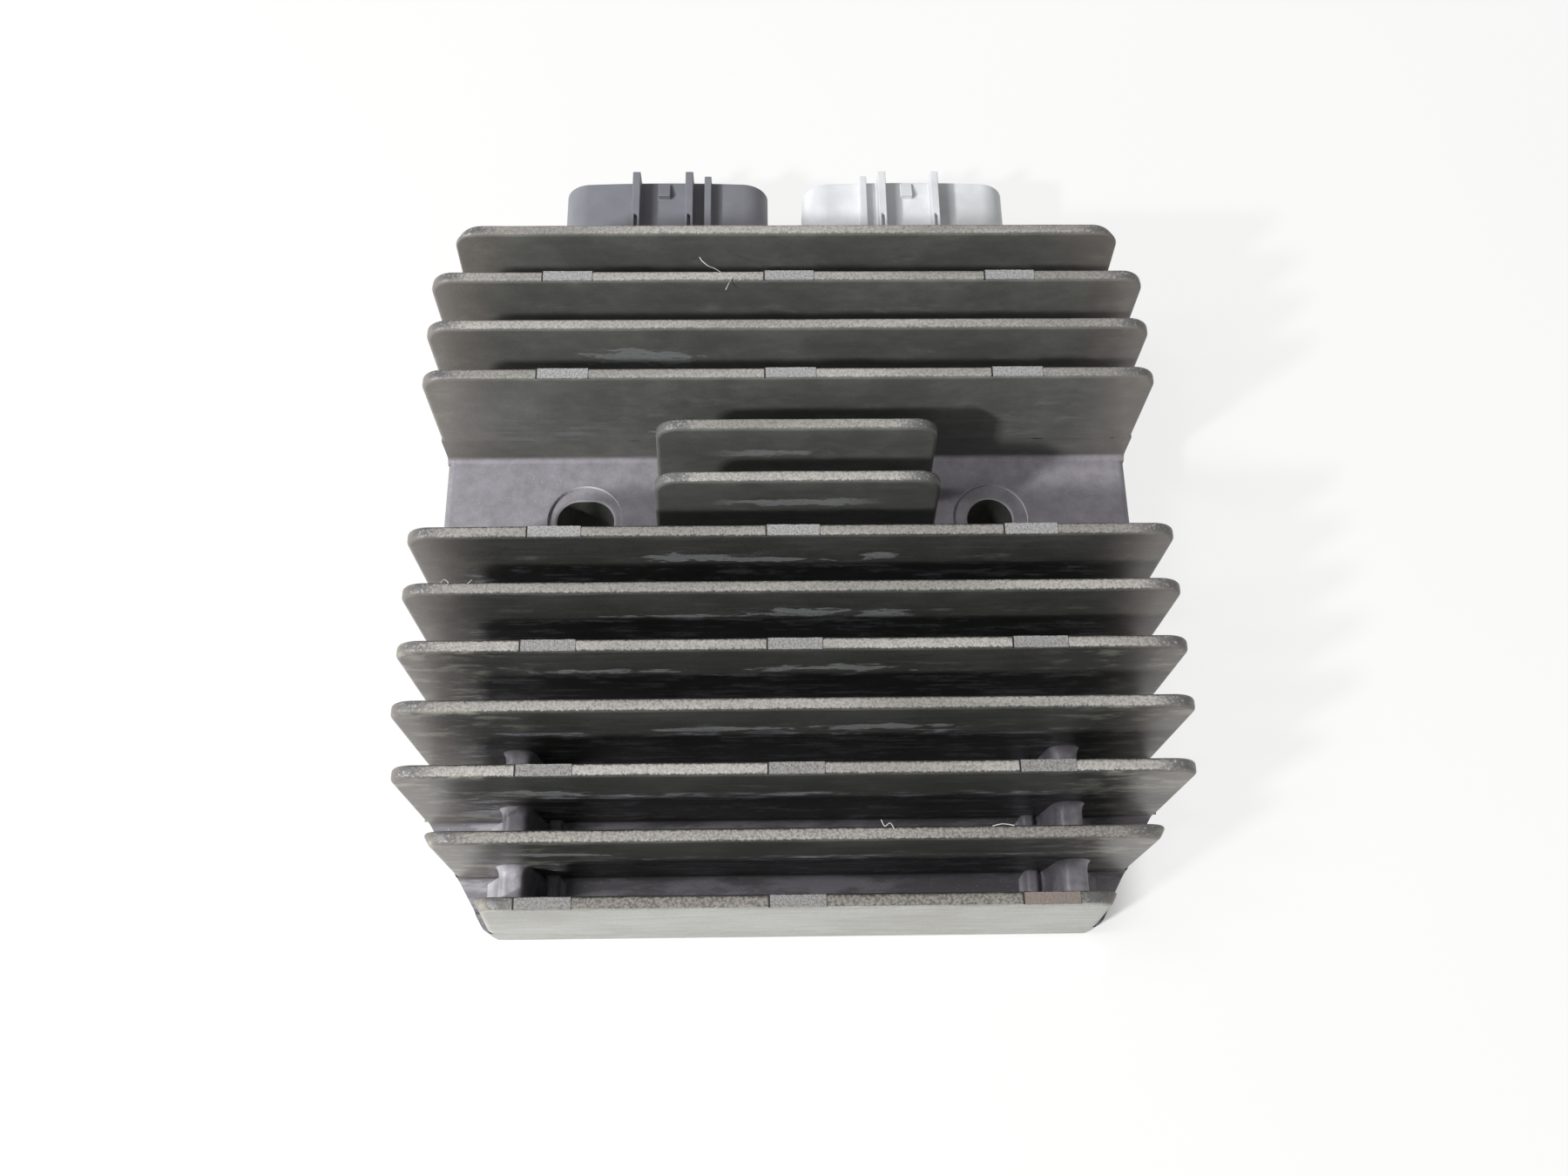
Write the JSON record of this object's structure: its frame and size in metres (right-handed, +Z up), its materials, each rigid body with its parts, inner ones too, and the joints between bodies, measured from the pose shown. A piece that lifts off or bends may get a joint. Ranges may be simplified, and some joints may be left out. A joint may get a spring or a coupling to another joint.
{
  "type": "voltage regulator rectifier",
  "caption": "Flat finned aluminium voltage regulator rectifier with a mounting bay across its middle and two sealed blade connector sockets side by side at one end.",
  "frame": {"origin": "on the mounting face, midway between the two mounting holes", "axes": "+Z up along the fins, +Y towards the connector sockets, +X to the right when the sockets are at the far end"},
  "size_m": [0.1072, 0.1228, 0.0381],
  "materials": {
    "coated_aluminium": "dark coated die casting, sandblasted and dusty on the fin tips",
    "dark_plastic": "moulded, satin",
    "grey_plastic": "moulded, satin",
    "tinned_brass": "tin plated",
    "silicone_sheet": "smooth sheet",
    "device_plastic": "moulded, matt",
    "board_laminate": "lacquered laminate",
    "can_aluminium": "drawn can",
    "potting_resin": "cast resin, satin"
  },
  "bodies": {
    "root": {"heat_sink": "coated_aluminium", "ac_connector_housing": "dark_plastic", "dc_connector_housing": "grey_plastic", "ac_terminal_1": "tinned_brass", "ac_terminal_2": "tinned_brass", "ac_terminal_3": "tinned_brass", "dc_terminal_negative": "tinned_brass", "dc_terminal_positive": "tinned_brass", "thyristor_1": "device_plastic", "thyristor_2": "device_plastic", "thyristor_3": "device_plastic", "diode_1": "device_plastic", "diode_2": "device_plastic", "diode_3": "device_plastic", "reference_diode": "device_plastic", "circuit_board": "board_laminate", "insulating_sheet": "silicone_sheet", "control_chip": "device_plastic", "filter_capacitor": "can_aluminium", "bypass_capacitor": "device_plastic", "driver_transistors": "device_plastic", "gate_resistors": "device_plastic", "potting_compound": "potting_resin"}
  },
  "joints": []
}
